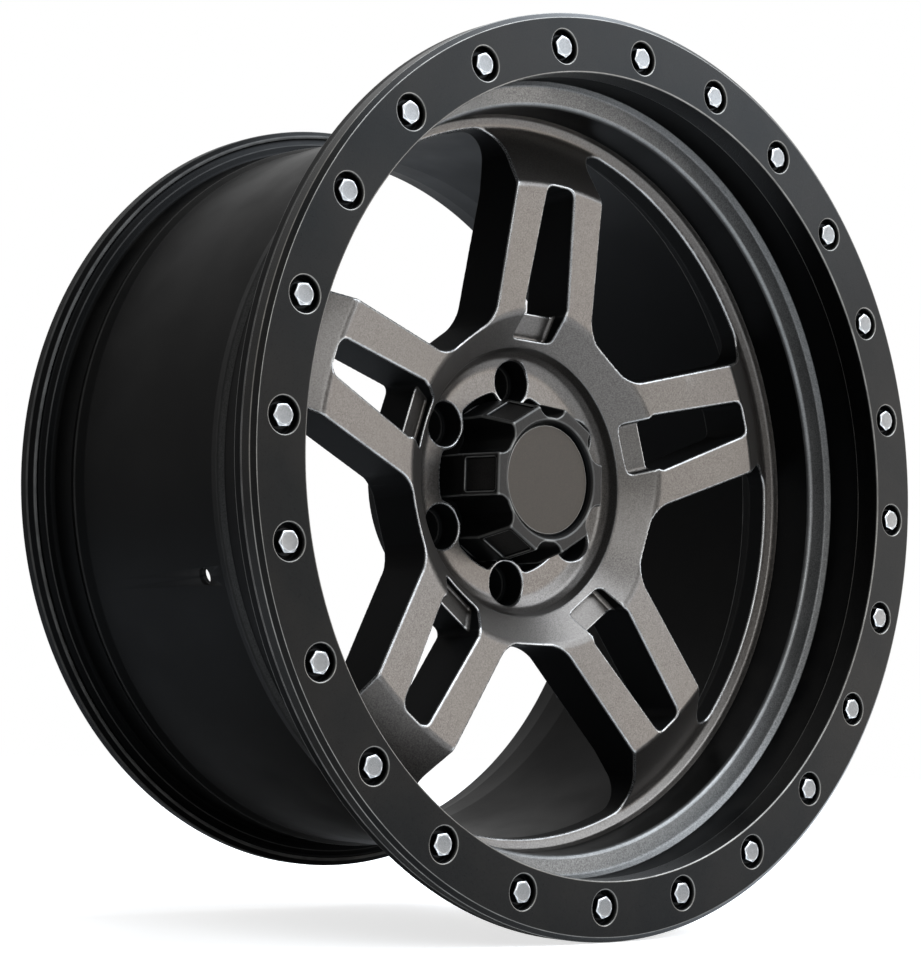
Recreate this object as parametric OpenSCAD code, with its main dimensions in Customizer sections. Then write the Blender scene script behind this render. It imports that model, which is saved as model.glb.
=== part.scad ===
// Cast alloy road wheel with a bolted outer ring, five split spokes and a six-lobe centre cap.
// Millimetres. The axle runs along Y and the outer face looks toward -Y, with one spoke straight up.
// Origin on the axle, midway between the ring face and the inboard rim edge.
// Depths are measured inboard from the ring face, radii from the axle.

/* [Rim] */
// Overall width, ring face to inboard edge
overall_w = 304; // [290:1:330]
// Radius of the tyre bead seats
bead_r = 256.4; // [254:0.1:258]
// Wall of the barrel
rim_wall = 4.9; // [4.5:0.1:6.2]
// Height of the inboard flange above the bead seat
flange_h = 17.5; // [15:0.1:19]
// Thickness of the inboard flange at its lip
flange_t = 12; // [10:0.1:14]
// Width of each bead seat
seat_w = 20; // [17:0.1:24]
// Height of the safety humps
hump_h = 1.8; // [1:0.1:2.5]

/* [Outer ring] */
// Reach of the ring past the tyre bead seat
ring_reach = 47.1; // [44:0.1:50]
// Width of the ring face
ring_w = 39.5; // [38:0.1:41]
// Thickness of the ring
ring_t = 10.5; // [9.5:0.1:13]
// Chamfer round the outer edge of the ring
ring_chamfer = 3; // [1:0.1:4]
// Wall of the spigot that centres the ring in the wheel
spigot_wall = 2.6; // [2:0.1:3.2]
// Height of that spigot
spigot_h = 8; // [4:0.1:12]
// Thickness of the wheel flange at its outer edge
edge_t = 7; // [5:0.1:9]

/* [Ring bolts] */
// Number of ring bolts
bolt_n = 24; // [18:1:28]
// Distance from the ring's outer edge in to the bolt circle
bolt_inset = 22.5; // [20.5:0.1:24]
// Turn of the first bolt from the top spoke, degrees
bolt_turn = -1.9; // [-7:0.1:7]
// Thread diameter
bolt_d = 8; // [6:0.1:9]
// Length of the bolt under its head
bolt_len = 20; // [16:0.5:21]
// Head width across flats
head_af = 13; // [12.5:0.1:14]
// Head height
head_h = 5.3; // [4:0.1:6]
// Washer diameter
washer_d = 17; // [16.5:0.1:18.5]
// Washer thickness
washer_t = 1.6; // [1.2:0.1:2]
// Gap round the washer in its counterbore
washer_gap = 2.8; // [1.5:0.1:3.2]
// Gap round the bolt in the ring
bolt_gap = 0.5; // [0.3:0.1:0.8]

/* [Dish] */
// Depth of the flat band behind the ring
band_depth = 48; // [44:0.5:52]
// Depth of the ledge at the windows
ledge_depth = 88; // [84:0.5:92]
// Width of that ledge, from the dish wall to the windows
ledge_w = 8.5; // [6:0.1:12]

/* [Spokes] */
// Number of spokes
spoke_n = 5; // [5:1:5]
// Radius where the spoke faces leave the hub cone
crease_in_r = 116; // [113:0.5:119]
// Radius where the spoke faces turn down to the rim
crease_out_r = 201; // [196:0.5:206]
// Depth of the spoke faces at the hub crease
face_in_depth = 78; // [75:0.5:82]
// Depth of the spoke faces at the outer crease
face_out_depth = 65.5; // [62:0.5:69]
// Half width of a spoke at the hub
spoke_in_half = 45; // [42:0.5:47]
// Half width of a spoke at its outer end
spoke_out_half = 40.5; // [38:0.5:44]
// Half width of the slot at the hub
slot_in_half = 20; // [17:0.5:22]
// Half width of the slot at its outer end
slot_out_half = 12; // [9:0.5:14]
// Corner radius of the slots
slot_round = 5; // [3:0.5:7]
// Width of the sunk bridge between the bars
bridge_w = 36; // [32:0.5:40]
// Depth of the bridge at the slot
bridge_depth = 88; // [85:0.5:91]
// Depth of the bridge at the hub
bridge_in_depth = 100.5; // [98:0.5:102]
// Land left between the bridge and the well
bridge_land = 5.5; // [4:0.5:8]
// Distance from the axle to the straight edge of the hub between spokes
web_r = 112.5; // [110:0.5:115]
// Corner radius of the windows at the hub
window_round_in = 8; // [5:0.5:12]
// Corner radius of the windows at the rim
window_round_out = 22; // [16:0.5:26]
// Depth of the back of the spokes at the hub
back_in_depth = 120; // [117:0.5:126]
// Depth of the back of the spokes at the rim
back_out_depth = 106; // [103:0.5:112]
// Wall round the hollow in the back of each bar
bar_wall = 6; // [5:0.1:7]
// Depth of the floor of those hollows
bar_floor_depth = 94; // [90:0.5:100]

/* [Hub] */
// Depth of the mounting pad
pad_depth = 159; // [154:0.5:166]
// Radius of the mounting pad
pad_r = 88; // [85:0.5:92]
// Radius of the hub bore
hub_bore_r = 53.05; // [52:0.05:54]
// Radius of the edge of the well
well_r = 92.5; // [90:0.5:95]
// Depth of the edge of the well
well_depth = 97.5; // [94:0.5:100]
// Depth of the shelf in the well
shelf_depth = 110; // [107:0.5:113]
// Radius of the cap recess between the lug walls
recess_r = 63; // [61:0.1:65]
// Depth of the cap seat
seat_depth = 126; // [122:0.5:130]
// Number of lug holes
lug_n = 6; // [6:1:6]
// Diameter of the lug circle
lug_pcd = 139.7; // [135:0.1:141]
// Radius of the lug pockets
lug_pocket_r = 15.2; // [14:0.1:16]
// Wall between a lug pocket and the cap recess
lug_wall = 2.8; // [2:0.1:3.4]
// Depth of the lug pocket floors
lug_floor_depth = 129; // [125:0.5:133]
// Radius of the stud holes
stud_r = 7.5; // [6.5:0.1:8.5]
// Radius of the conical nut seats at the pocket floor
cone_r = 12.5; // [11:0.1:13.5]
// Radius of the hollows between the lug holes
relief_r = 10; // [7:0.5:12]
// Radius of the valve hole
valve_r = 5.7; // [4.2:0.05:8]

/* [Cap] */
// Radius of the blank disc
disc_r = 37; // [34:0.1:38]
// Thickness of the disc
disc_t = 1.6; // [1:0.1:2.5]
// Groove round the disc
disc_gap = 1.2; // [0.5:0.1:1.6]
// How far the disc lies below the cap face
disc_sink = 4; // [2.5:0.1:6]
// Width of the bevel from the groove up to the cap face
cap_bevel_w = 2.6; // [1.5:0.1:3.5]
// Depth of the cap face
cap_depth = 69; // [66:0.5:73]
// Least width of the cap face, at the valleys between the lobes
cap_rim_w = 2; // [1.5:0.1:3]
// Distance from the axle to the end of a lobe at the cap face
lobe_r = 48.5; // [47:0.1:50]
// Width of a lobe
lobe_w = 29; // [26:0.1:30]
// Distance from the axle to the foot of a lobe
lobe_foot_r = 56; // [54:0.1:58]
// Depth of the foot of the lobes' sloping ends
lobe_depth = 97; // [92:0.5:102]
// Wall of the cap
cap_wall = 2.4; // [2:0.1:3]
// Width of the sunk panel on the end of each lobe
panel_w = 20; // [16:0.5:22]
// Border of the sunk panels
panel_edge = 4; // [2.5:0.1:5]
// Depth of the sunk panels
panel_t = 1.2; // [0.5:0.1:1.6]
// Gap between the cap legs and the hub bore
leg_gap = 0.4; // [0.3:0.1:0.8]
// Thickness of the cap legs
leg_t = 2.8; // [2.2:0.1:3.2]
// Width of the cap legs
leg_w = 13; // [10:0.5:16]
// Depth of the groove that the legs snap into
groove_t = 1.6; // [1.2:0.1:2.2]
// Wire diameter of the spring ring behind the legs
wire_d = 2.4; // [2:0.1:3]

/* [Hidden] */
half_w = overall_w / 2;
eps = 0.01;
round_fn = 36;
flange_r = bead_r + flange_h;
ring_r = bead_r + ring_reach;
ring_bore_r = ring_r - ring_w;
bolt_circle_r = ring_r - bolt_inset;
front_bore_r = ring_bore_r + spigot_wall + 0.3;
dish_r = bead_r - rim_wall - 0.4;
window_r = dish_r - ledge_w;
lug_r = lug_pcd / 2;
// Flange depths at the back, and the bead seat in front of it
lip_depth = overall_w - flange_t;
back_seat_depth = lip_depth - seat_w - 6;
// Front bead seat, behind the flare that carries the ring
flare_depth = band_depth + 24;
front_seat_depth = flare_depth + seat_w;
// Plane of the spoke faces, as depth at a distance along the spoke
face_slope = (face_in_depth - face_out_depth) / (crease_out_r - crease_in_r);
function face_depth(x) = face_in_depth - face_slope * (x - crease_in_r);
// Cones on both sides of the faces
cone_in_slope = (well_depth - face_in_depth) / (crease_in_r - well_r);
cone_out_slope = (ledge_depth + 3 - face_out_depth) / (window_r - crease_out_r);
crown = 8;
// Counterbore, deep enough to leave the bolt head level with the ring face
sink_r = washer_d / 2 + washer_gap;
sink_depth = washer_t + head_h;
disc_depth = cap_depth + disc_sink;
disc_well_r = disc_r + disc_gap;
bevel_r = disc_well_r + cap_bevel_w;
valley_r = bevel_r + cap_rim_w;
leg_r = hub_bore_r - leg_gap;
groove_depth = seat_depth + 5;
leg_end_depth = groove_depth + 2.5;
// Lobe ends lean out by this much for each millimetre of depth
lobe_lean = (lobe_foot_r - lobe_r) / (lobe_depth - cap_depth);

wheel();
outer_ring();
ring_bolts();
ring_washers();
cap_body();
cap_disc();
cap_spring();

// Sections are drawn as [radius, depth] and turned round the axle
function section(points) = [for (p = points) [p[0], half_w - p[1]]];
module turned(points, sides = round_fn) rotate_extrude($fn = sides) polygon(section(points));
// Cylinder between two depths
module bar(r, from, to, sides = round_fn)
    translate([0, 0, half_w - to]) cylinder(r = r, h = to - from, $fn = sides);
// Flat outline pushed between two depths
module through(from, to) translate([0, 0, half_w - to]) linear_extrude(to - from) children();
module on_axle() rotate([90, 0, 0]) children();
module each_spoke() for (i = [0 : spoke_n - 1]) rotate(90 + i * 360 / spoke_n) children();
module each_window() for (i = [0 : spoke_n - 1]) rotate(90 + (i + 0.5) * 360 / spoke_n) children();
module each_bolt() for (i = [0 : bolt_n - 1])
    rotate(90 + bolt_turn + i * 360 / bolt_n) translate([bolt_circle_r, 0, 0]) children();
module each_valley() for (i = [0 : lug_n - 1]) rotate(90 + i * 360 / lug_n) children();
module each_lug() each_valley() translate([lug_r, 0, 0]) children();
module each_lobe() for (i = [0 : lug_n - 1]) rotate(90 + (i + 0.5) * 360 / lug_n) children();
module rounded(r) offset(r = r, $fn = r > 10 ? 20 : r > 6 ? 12 : 8) offset(delta = -r) children();

// Outer outline of the casting, from the ring seat back to the inboard lip
outside = [
    [ring_r, ring_t], [ring_r, ring_t + edge_t],
    [ring_r - 8, ring_t + edge_t + 4], [ring_r - 17, ring_t + edge_t + 11],
    [ring_r - 25, band_depth - 8], [ring_r - 31, band_depth + 4],
    [bead_r + 6, flare_depth - 8], [bead_r + 0.6, flare_depth],
    [bead_r - 0.8, front_seat_depth], [bead_r + hump_h - 0.4, front_seat_depth + 6],
    [bead_r - 0.8, front_seat_depth + 14],
    [bead_r - 2, back_seat_depth - 14], [bead_r + hump_h - 0.6, back_seat_depth - 6],
    [bead_r - 0.8, back_seat_depth],
    [bead_r + 0.6, back_seat_depth + seat_w], [bead_r + 6.5, lip_depth - 4.5],
    [bead_r + 10.5, lip_depth - 1.5], [bead_r + 13, lip_depth - 3.2], [flange_r, lip_depth + 1],
    [flange_r, overall_w - 4], [flange_r - 3, overall_w]
];
// Inside of the barrel, from the lip forward to the back of the spokes
inside = [
    [bead_r + 7, overall_w], [bead_r - 1, overall_w - 6], [bead_r - rim_wall, lip_depth - 14],
    [bead_r - rim_wall - 2, back_seat_depth - 12],
    [bead_r - rim_wall - 1.5, back_out_depth + 12], [dish_r - 5, back_out_depth + 3],
    [window_r, back_out_depth], [crease_out_r, back_out_depth],
    [crease_in_r + 8, back_in_depth], [pad_r + 8, back_in_depth + 8], [pad_r, pad_depth],
    [hub_bore_r + 1.5, pad_depth], [hub_bore_r, pad_depth - 1.5]
];
// Front of the hub and the dish, from the bore out to the ring seat
face = [
    [hub_bore_r, groove_depth + 3], [hub_bore_r + groove_t, groove_depth + 3],
    [hub_bore_r + groove_t, groove_depth], [hub_bore_r, groove_depth - groove_t],
    [hub_bore_r, shelf_depth + 1.5], [well_r - 13, shelf_depth + 1.5], [well_r - 6, shelf_depth - 1.5], [well_r - 2, shelf_depth - 6.5],
    [well_r, well_depth], [crease_in_r + crown, face_in_depth - crown * cone_in_slope],
    [crease_out_r - crown, face_out_depth - crown * cone_out_slope],
    [window_r, ledge_depth + 3], [dish_r - 1.5, ledge_depth], [dish_r - 0.5, ledge_depth - 3],
    [dish_r, band_depth + 5], [front_bore_r - 3, band_depth + 1.5],
    [front_bore_r, band_depth - 2], [front_bore_r, ring_t]
];

// The casting: barrel, dish, split spokes and hub in one piece
module wheel()
    color([0.42, 0.40, 0.38])
    on_axle()
    difference() {
        turned(concat(outside, inside, face));
        each_spoke() face_cut();
        each_window() through(0, overall_w) window_outline();
        each_spoke() through(0, overall_w) slot_outline();
        each_spoke() bridge_cut();
        each_spoke() bar_hollows();
        through(30, seat_depth) cap_recess();
        each_lug() lug_hole();
        each_lobe() translate([lug_r, 0, 0]) bar(relief_r, seat_depth + 5, pad_depth + 1, 12);
        each_bolt() bar(bolt_d / 2, ring_t - 1, ring_t + bolt_len - sink_floor() + 2, 8);
        valve_hole();
    }

// Metal of the ring left under each washer
function sink_floor() = ring_t - sink_depth;

// Recess for the cap, which goes round the walls of the lug pockets
module cap_recess()
    difference() {
        circle(r = recess_r, $fn = 36);
        each_lug() circle(r = lug_pocket_r + lug_wall, $fn = 16);
    }

// Everything above the flat face that both bars of a spoke share
module face_cut()
    side_prism(2 * (spoke_in_half + 15), [
        [crease_in_r - 20, face_depth(crease_in_r - 20)], [crease_out_r + 14, face_depth(crease_out_r + 14)],
        [crease_out_r + 14, 30], [crease_in_r - 20, 30]
    ]);
// Shape drawn as [distance along the spoke, depth] and pushed across it
module side_prism(width, points)
    rotate([90, 0, 0]) translate([0, 0, -width / 2]) linear_extrude(width) polygon(section(points));

// Distance of a spoke's outer edge from its middle line
function edge_half(x) = spoke_in_half
    + (spoke_out_half - spoke_in_half) * (x - crease_in_r) / (crease_out_r - crease_in_r);
function slot_half(x) = slot_in_half
    + (slot_out_half - slot_in_half) * (x - crease_in_r) / (crease_out_r - crease_in_r);
// Point on a spoke's edge, seen from the middle of the window beside it
function turned_point(x, y, a) = [x * cos(a) - y * sin(a), x * sin(a) + y * cos(a)];
function edge_point(x) = turned_point(x, edge_half(x), -180 / spoke_n);
// Half width of the window where a straight line crosses it at distance x from the axle
function window_half(x) =
    let (a = edge_point(crease_in_r), b = edge_point(crease_out_r))
    -(a[1] + (b[1] - a[1]) * (x - a[0]) / (b[0] - a[0]));

module wedge(from, to)
    polygon([[from, -window_half(from)], [to, -window_half(to)], [to, window_half(to)], [from, window_half(from)]]);
// Window between two spokes, with tighter corners at the hub than at the rim
module window_outline()
    intersection() {
        rounded(window_round_in) wedge(web_r, window_r + 60);
        rounded(window_round_out) intersection() {
            wedge(web_r - 16, window_r + 40);
            circle(r = window_r, $fn = 72);
        }
    }

// Long slot that splits a spoke into two bars
module slot_outline()
    rounded(slot_round)
    polygon([
        [crease_in_r, -slot_in_half], [crease_out_r, -slot_out_half],
        [crease_out_r, slot_out_half], [crease_in_r, slot_in_half]
    ]);
// Sunk bridge that closes the slot at the hub
module bridge_cut()
    side_prism(bridge_w, [
        [well_r + bridge_land + 1, bridge_in_depth], [crease_in_r + slot_round, bridge_depth],
        [crease_in_r + slot_round, 30], [well_r + bridge_land, 30], [well_r + bridge_land, bridge_in_depth - 1]
    ]);

// Hollow in the back of each bar
module bar_hollows()
    through(bar_floor_depth, overall_w) for (s = [-1, 1])
        rounded(3) polygon([
            [crease_in_r + 10, s * (slot_half(crease_in_r + 10) + bar_wall)],
            [crease_out_r - 4, s * (slot_half(crease_out_r - 4) + bar_wall)],
            [crease_out_r - 4, s * (edge_half(crease_out_r - 4) - bar_wall)],
            [crease_in_r + 10, s * (edge_half(crease_in_r + 10) - bar_wall)]
        ]);

// Pocket, conical nut seat and stud hole
module lug_hole() {
    bar(lug_pocket_r, 60, lug_floor_depth, 16);
    translate([0, 0, half_w - lug_floor_depth - (cone_r - stud_r) * sqrt(3)])
        cylinder(r1 = stud_r, r2 = cone_r, h = (cone_r - stud_r) * sqrt(3) + eps, $fn = 14);
    bar(stud_r, lug_floor_depth - 1, pad_depth + 1, 14);
}

// Valve hole through the barrel, in the window left of the top spoke's neighbour
module valve_hole()
    rotate(90 + 1.5 * 360 / spoke_n) translate([0, 0, half_w - (back_out_depth + 20)])
        rotate([0, 90, 0]) translate([0, 0, window_r]) cylinder(r = valve_r, h = 40, $fn = 16);

// Bolted ring with its counterbores and spigot
module outer_ring()
    color([0.16, 0.17, 0.18])
    on_axle()
    difference() {
        turned([
            [ring_bore_r + 1, 0], [ring_r - ring_chamfer, 0], [ring_r - 0.8, ring_chamfer * 0.45],
            [ring_r, ring_chamfer], [ring_r, ring_t], [front_bore_r - 0.3, ring_t],
            [front_bore_r - 0.3, ring_t + spigot_h], [ring_bore_r, ring_t + spigot_h], [ring_bore_r, 1]
        ]);
        each_bolt() bar(sink_r, -1, sink_depth, 13);
        each_bolt() bar(bolt_d / 2 + bolt_gap, 0, ring_t + 1, 8);
    }

// Hexagon screws, heads level with the ring face
module ring_bolts()
    color([0.78, 0.79, 0.80])
    on_axle()
    each_bolt() {
        rotate(30) bar(head_af / sqrt(3), 0, head_h, 6);
        bar(bolt_d / 2, head_h, sink_depth + bolt_len, 8);
    }

module ring_washers()
    color([0.70, 0.71, 0.72])
    on_axle()
    each_bolt() difference() {
        bar(washer_d / 2, head_h, sink_depth, 8);
        bar(bolt_d / 2 + 0.3, 0, sink_depth + 1, 8);
    }

// Outer form of the cap, a six-sided dome with valleys between its lobes, shrunk by a wall
module cap_form(wall, foot)
    difference() {
        lobe_dome(wall, foot);
        each_valley() through(cap_depth - 1, foot + 1) rounded(4) polygon([
            [valley_r - wall, valley_half(valley_r, wall)], [lug_r + 30, valley_half(lug_r + 30, wall)],
            [lug_r + 30, -valley_half(lug_r + 30, wall)], [valley_r - wall, -valley_half(valley_r, wall)]
        ]);
    }
// Half width of a valley at distance x from the axle, with its sides along the lobes
function valley_half(x, wall) = (x * sin(180 / lug_n) - lobe_w / 2 + wall) / cos(180 / lug_n);
// Six flat ends that lean out from the face to the foot of the lobes
module lobe_dome(wall, foot) {
    top = cap_depth + (wall > 0 ? disc_sink + disc_t + wall : 0);
    hex(lobe_end(top) - wall, lobe_foot_r - wall, top, lobe_depth);
    hex(lobe_foot_r - wall, lobe_foot_r - wall, lobe_depth - eps, foot);
}
function lobe_end(depth) = lobe_r + lobe_lean * (depth - cap_depth);
// Six-sided block between two depths, sized across its flats
module hex(half_from, half_to, from, to)
    translate([0, 0, half_w - to]) rotate(180 / lug_n)
    cylinder(r1 = half_to / cos(180 / lug_n), r2 = half_from / cos(180 / lug_n), h = to - from, $fn = lug_n);

// Cap with six lobes between the lug pockets, snapped into the hub bore
module cap_body()
    color([0.33, 0.31, 0.29])
    on_axle() {
        difference() {
            cap_form(0, seat_depth);
            cap_form(cap_wall, seat_depth + 1);
            turned([
                [0, cap_depth - 1], [bevel_r + 0.6, cap_depth - 1], [bevel_r, cap_depth],
                [disc_well_r, disc_depth], [disc_well_r, disc_depth + disc_t], [0, disc_depth + disc_t]
            ]);
            each_lobe() lobe_panel();
        }
        each_lobe() cap_leg();
    }

// Sunk panel on the leaning end of a lobe
module lobe_panel()
    side_prism(panel_w, [
        [lobe_end(cap_depth + panel_edge) - panel_t, cap_depth + panel_edge],
        [lobe_end(lobe_depth - panel_edge) - panel_t, lobe_depth - panel_edge],
        [lobe_foot_r + 3, lobe_depth - panel_edge], [lobe_foot_r + 3, cap_depth + panel_edge]
    ]);

// Leg with a barb that snaps into the groove of the hub bore
module cap_leg() {
    top = cap_depth + (leg_r + 1 - lobe_r) / lobe_lean;
    intersection() {
        side_prism(leg_w, [
            [leg_r - leg_t - 4, top], [leg_r + 4, top],
            [leg_r + 4, leg_end_depth], [leg_r - leg_t - 4, leg_end_depth]
        ]);
        turned([
            [leg_r - leg_t, cap_depth], [leg_r, cap_depth], [leg_r, groove_depth - 0.2],
            [hub_bore_r + groove_t - 0.5, groove_depth + 0.4], [hub_bore_r + groove_t - 0.5, groove_depth + 1.2],
            [leg_r, leg_end_depth], [leg_r - leg_t, leg_end_depth]
        ]);
    }
}

// Blank disc in the front of the cap
module cap_disc()
    color([0.36, 0.34, 0.31])
    on_axle() bar(disc_r, disc_depth, disc_depth + disc_t);

// Wire ring that holds the legs out
module cap_spring()
    color([0.6, 0.6, 0.6])
    on_axle() translate([0, 0, half_w - groove_depth])
        rotate_extrude($fn = 24) translate([leg_r - leg_t - wire_d / 2, 0]) circle(d = wire_d, $fn = 6);
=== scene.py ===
"""Looks of a 20 x 9 inch cast alloy wheel with a bolted outer ring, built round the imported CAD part."""

import math

import bpy
import numpy as np
from mathutils import Matrix, Vector


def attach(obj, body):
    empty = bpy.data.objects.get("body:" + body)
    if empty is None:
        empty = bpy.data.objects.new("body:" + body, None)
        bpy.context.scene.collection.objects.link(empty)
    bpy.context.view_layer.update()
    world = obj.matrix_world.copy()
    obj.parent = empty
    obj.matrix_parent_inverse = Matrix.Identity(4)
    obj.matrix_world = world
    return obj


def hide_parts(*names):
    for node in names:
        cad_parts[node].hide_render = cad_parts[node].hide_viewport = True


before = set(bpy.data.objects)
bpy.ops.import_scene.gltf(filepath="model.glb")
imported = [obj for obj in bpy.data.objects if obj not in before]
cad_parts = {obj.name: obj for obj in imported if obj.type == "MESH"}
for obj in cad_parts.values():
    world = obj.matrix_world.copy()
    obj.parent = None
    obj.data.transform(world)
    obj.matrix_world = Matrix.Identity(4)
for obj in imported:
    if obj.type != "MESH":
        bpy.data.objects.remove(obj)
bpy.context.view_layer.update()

# Camera, fitted to the photograph: metres, row frame
LENS_MM = 88.29
SENSOR_MM = 36.0
CAMERA_AZIMUTH = -41.67
CAMERA_ELEVATION = -4.29
WHEEL_TURN = 2.18
CAMERA_AT = (-1.09825, -1.22405, -0.11703)

# Sizes in millimetres: radii from the axle, depths inboard from the ring face
HALF_W = 152.0
BACK = 2 * HALF_W
SPOKES, LUGS, BOLTS = 5, 6, 24
CREASE_IN, CREASE_OUT = 116.0, 201.0
FACE_IN, FACE_OUT = 78.0, 65.5
BACK_IN, BACK_OUT = 120.0, 106.0
TOP_HALF, TOP_IN, TOP_OUT = 60, 96, 215
WINDOW_IN, WINDOW_CORNER_IN, WINDOW_CORNER_OUT = 112.5, 8, 22
SLOT_HALF, SLOT_SLANT = (20, 12), 0.9956
BAR_WALL, HOLLOW_IN, HOLLOW_OUT, HOLLOW_DEPTH = 6, 126, 197, 94
BRIDGE_HALF, BRIDGE_IN, BRIDGE_OUT, BRIDGE_DEPTH = 18, 98, 121, 88
BRIDGE_RISE, BRIDGE_RUN, BRIDGE_SLANT = 12.5, 22.0, 0.87
BORE_R, SNAP_R, PAD_DEPTH, SHELF_DEPTH = 53.05, 54.65, 159, 111.5
WELL_R, WELL_DEPTH = 92.5, 97.5
LUG_R, STUD_R = 69.85, 7.5
SEAT_R, SEAT_DEPTH, SEAT_RISE, SEAT_TAPER = 15.2, 129, 5, 1.732
POCKET_IN, POCKET_WALL_R, POCKET_DEPTH = 63, 18.0, 126
RELIEF_R, RELIEF_DEPTH = 10, 131
ROOT_R, ROOT_DEPTH, INNER_R = 254.5, 118, 250.0
DISH_R, WINDOW_R, LEDGE = 251.1, 242.6, 88.0
CONE_IN = (WELL_DEPTH - FACE_IN) / (CREASE_IN - WELL_R)
CONE_OUT = (LEDGE + 3 - FACE_OUT) / (WINDOW_R - CREASE_OUT)
BEAD, BACK_LIP = 256.4, 292.0
BACK_SEAT = BACK_LIP - 26.0
BAND, FLARE = 48.0, 72.0
FRONT_SEAT = 92.0
RING_R, RING_BORE, RING_T = 303.4, 264.0, 10.5
FRONT_BORE = 266.9
CHAMFER = 3.0
RING_FACE = RING_BORE + 1.6, RING_R - CHAMFER - 1.2
BOLT_R, BOLT_TURN = 281.0, -1.9
VALVE_R, VALVE_DEPTH = 5.7, 20 + BACK_OUT
SINK_R, SINK_DEPTH = 11.3, 6.9
SECTOR_WIDE, SECTOR_TALL = 12, 8
HEAD_AF, WASHER_D, WASHER_T = 13.0, 17.0, 1.6
CAP_DEPTH, CAP_FOOT, CAP_WALL, CAP_ROOM = 69.0, 126.0, 2.4, 77.0
LOBE_R, LOBE_GROWTH, LOBE_HEIGHT, LOBE_SLANT, SKIRT_R = 48.5, 7.5, 28.0, 0.966, 56.0
VALLEY_R, VALLEY_IN = 42.8, 14.5
PANEL_HALF, PANEL_DEPTH, PANEL_TALL, PANEL_SINK = 11.3, 83.5, 11.5, 1.3
LEG_HALF, LEG_DEPTH, BARB_DEPTH = 6.5, 89, 132.0
DISC_DEPTH, DISC_R, DISC_T = 73.0, 37.0, 1.6
SPRING_R, SPRING_WIRE, SPRING_DEPTH = 48.65, 1.2, 131


def turned(v, degrees):
    """v turned about the axle, as the wheel stands in the photograph."""
    a = math.radians(degrees)
    c, s = math.cos(a), math.sin(a)
    return Vector((v[0] * c - v[2] * s, v[1], v[0] * s + v[2] * c))


def make_camera():
    """The photograph's camera, moved with the wheel's turn about its axle."""
    az, el = math.radians(CAMERA_AZIMUTH), math.radians(CAMERA_ELEVATION)
    right = Vector((math.cos(az), math.sin(az), 0.0))
    back = Vector((math.sin(az) * math.cos(el), -math.cos(az) * math.cos(el), math.sin(el)))
    axes = [turned(a, WHEEL_TURN) for a in (right, back.cross(right), back)]
    at = turned(CAMERA_AT, WHEEL_TURN)
    cam = bpy.data.cameras.new("camera")
    cam.lens = LENS_MM
    cam.sensor_width = SENSOR_MM
    cam.sensor_fit = "AUTO"
    obj = bpy.data.objects.new("camera", cam)
    rows = [(*(a[i] for a in axes), at[i]) for i in range(3)]
    obj.matrix_world = Matrix(rows + [(0, 0, 0, 1)])
    bpy.context.scene.collection.objects.link(obj)
    bpy.context.scene.camera = obj


def meet(a, b, r):
    """What two forms share, with a round edge of radius r where they meet."""
    if r <= 0:
        return np.maximum(a, b)
    corner = np.hypot(np.maximum(a + r, 0), np.maximum(b + r, 0))
    return np.minimum(-r, np.maximum(a, b)) + corner


def carve(body, tool, r):
    """The body with the tool's form taken out, edges rounded."""
    return meet(body, -tool, r)


def outline_distance(points, x, y):
    """Signed distance to a closed outline, negative inside."""
    best = np.full(x.shape, 1e9, np.float32)
    odd = np.zeros(x.shape, bool)
    n = len(points)
    for i in range(n):
        (x0, y0), (x1, y1) = points[i], points[(i + 1) % n]
        dx, dy = x1 - x0, y1 - y0
        t = np.clip(((x - x0) * dx + (y - y0) * dy) / (dx * dx + dy * dy + 1e-12), 0, 1)
        best = np.minimum(best, np.hypot(x - x0 - t * dx, y - y0 - t * dy))
        if y0 != y1:
            odd ^= ((y0 > y) != (y1 > y)) & (x < (x1 - x0) * (y - y0) / (y1 - y0) + x0)
    return np.where(odd, -best, best)


def round_corners(points, radii, steps=6):
    """A closed outline with each corner swept by its radius."""
    nearly_straight = math.radians(88.5)
    out = []
    n = len(points)
    for i in range(n):
        r = radii[i]
        p = np.array(points[i], float)
        a = np.array(points[i - 1], float) - p
        b = np.array(points[(i + 1) % n], float) - p
        la, lb = np.linalg.norm(a), np.linalg.norm(b)
        a, b = a / la, b / lb
        half = 0.5 * math.acos(max(-1.0, min(1.0, float(a @ b))))
        if r <= 0 or half > nearly_straight:
            out.append(tuple(p))
            continue
        cut = min(r / math.tan(half), 0.48 * la, 0.48 * lb)
        r = cut * math.tan(half)
        centre = p + (a + b) / np.linalg.norm(a + b) * r / math.sin(half)
        s, e = p + a * cut - centre, p + b * cut - centre
        a0, a1 = math.atan2(s[1], s[0]), math.atan2(e[1], e[0])
        turn = (a1 - a0 + math.pi) % (2 * math.pi) - math.pi
        for k in range(steps + 1):
            t = a0 + turn * k / steps
            out.append((centre[0] + r * math.cos(t), centre[1] + r * math.sin(t)))
    return out


def fold(x, z, count, start):
    """Distance along and across the nearest of count directions, the first at start degrees."""
    step = 2 * math.pi / count
    a = np.arctan2(z, x) - math.radians(start)
    a = (a + step / 2) % step - step / 2
    r = np.hypot(x, z)
    return r * np.cos(a), r * np.sin(a)


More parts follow.
